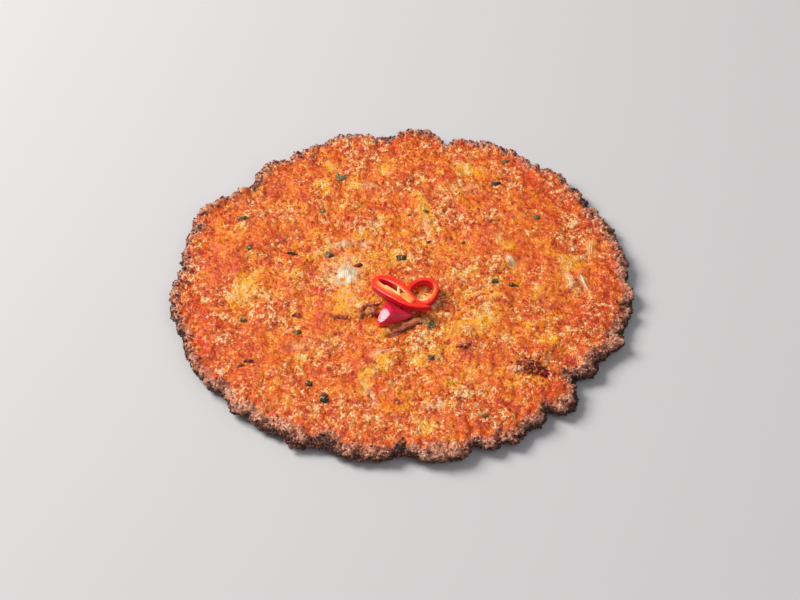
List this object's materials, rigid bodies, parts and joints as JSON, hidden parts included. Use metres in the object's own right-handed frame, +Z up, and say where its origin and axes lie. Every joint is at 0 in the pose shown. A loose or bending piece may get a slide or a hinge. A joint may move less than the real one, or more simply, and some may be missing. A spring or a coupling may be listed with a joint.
{
  "type": "kimchi pancake",
  "caption": "Round fried kimchi pancake with a ragged, browned rim that curls up, scallion fried into its top, and slices of fresh red chilli on the middle.",
  "frame": {"origin": "centre of the flat underside that the pancake rests on", "axes": "+Z up through the pancake; the picture is taken from the -Y side, with +X to its right"},
  "size_m": [0.2115, 0.2096, 0.0151],
  "materials": {
    "batter": null,
    "chilli": null
  },
  "bodies": {
    "root": {"pancake": "batter", "chilli_ring_long": "chilli", "chilli_ring_round": "chilli", "chilli_wedge": "chilli"}
  },
  "joints": []
}
